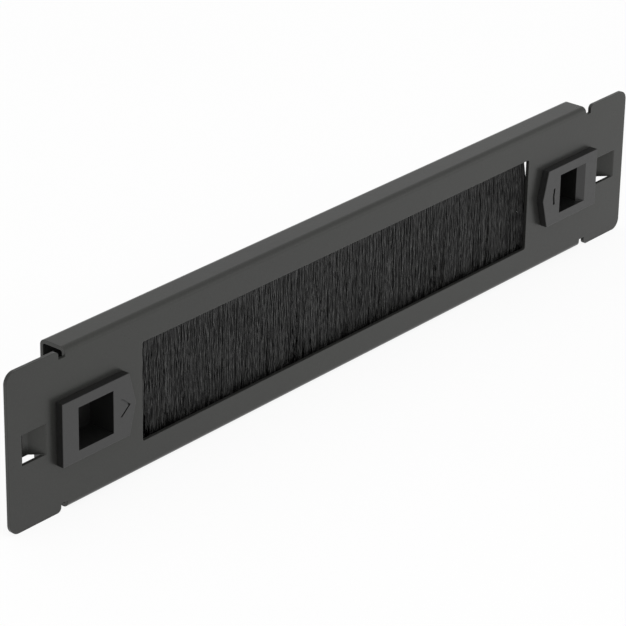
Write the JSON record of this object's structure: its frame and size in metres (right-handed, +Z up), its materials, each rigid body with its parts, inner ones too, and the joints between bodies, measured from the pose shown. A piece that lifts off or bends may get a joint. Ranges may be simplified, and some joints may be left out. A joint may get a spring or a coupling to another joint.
{
  "type": "rack brush strip panel",
  "caption": "Folded steel rack panel one unit high for ten-inch racks, with a strip brush across a cable window and hand-worked latches at both ends.",
  "frame": {"origin": "centre of the mounting plane, where the flat backs of the ears meet the fronts of the rack rails", "axes": "+X to the right seen from the front, +Y to the rear of the rack, +Z up"},
  "size_m": [0.254, 0.0107, 0.0436],
  "materials": {
    "panel_coat": "satin black powder coat on steel sheet",
    "channel_steel": "zinc plated strip, rolled",
    "wire_steel": "drawn wire",
    "bristle_nylon": "black nylon bristles, slight sheen",
    "latch_plastic": "moulded black plastic, fine matt grain"
  },
  "bodies": {
    "panel": {"front_panel": "panel_coat", "brush_channel": "channel_steel", "brush_core_wire": "wire_steel", "brush_bristles": "bristle_nylon"},
    "left_latch": {"left_latch_knob": "latch_plastic", "left_latch_bolt": "latch_plastic"},
    "right_latch": {"right_latch_knob": "latch_plastic", "right_latch_bolt": "latch_plastic"}
  },
  "joints": [
    {"name": "left_latch_slide", "type": "slide", "parent": "panel", "child": "left_latch", "axis": [1, 0, 0], "range_m": [0, 0.0035]},
    {"name": "right_latch_slide", "type": "slide", "parent": "panel", "child": "right_latch", "axis": [-1, 0, 0], "range_m": [0, 0.0035]}
  ]
}
